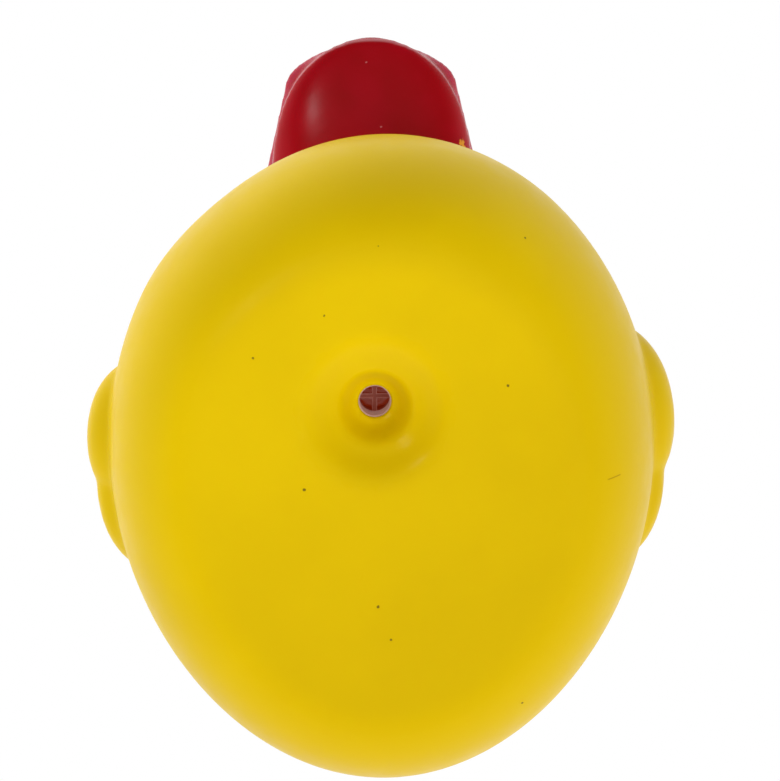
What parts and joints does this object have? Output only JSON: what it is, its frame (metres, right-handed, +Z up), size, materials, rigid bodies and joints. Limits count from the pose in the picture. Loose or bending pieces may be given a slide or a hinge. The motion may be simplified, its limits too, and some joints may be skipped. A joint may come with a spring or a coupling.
{
  "type": "rubber duck",
  "caption": "Hollow moulded vinyl bath duck standing on its flat base, with bill, folded wings and upturned tail, and a squeaker pressed into the hole of its base.",
  "frame": {"origin": "middle of the bounding box at the height of the base", "axes": "+Z up through the head, +Y towards the tail along the duck's length, +X towards the duck's left wing; the bill faces -Y"},
  "size_m": [0.0822, 0.104, 0.086],
  "materials": {
    "vinyl": "soft satin vinyl, yellow right through; the bill is painted glossy red and the eyes black and white",
    "squeaker_plastic": "translucent lilac-brown moulded plastic",
    "reed_plastic": "plain off-white moulded plastic",
    "reed_film": "thin clear-white plastic strip"
  },
  "bodies": {
    "root": {"duck_body": "vinyl", "squeaker_housing": "squeaker_plastic", "reed_holder": "reed_plastic", "reed_tongue": "reed_film"}
  },
  "joints": []
}
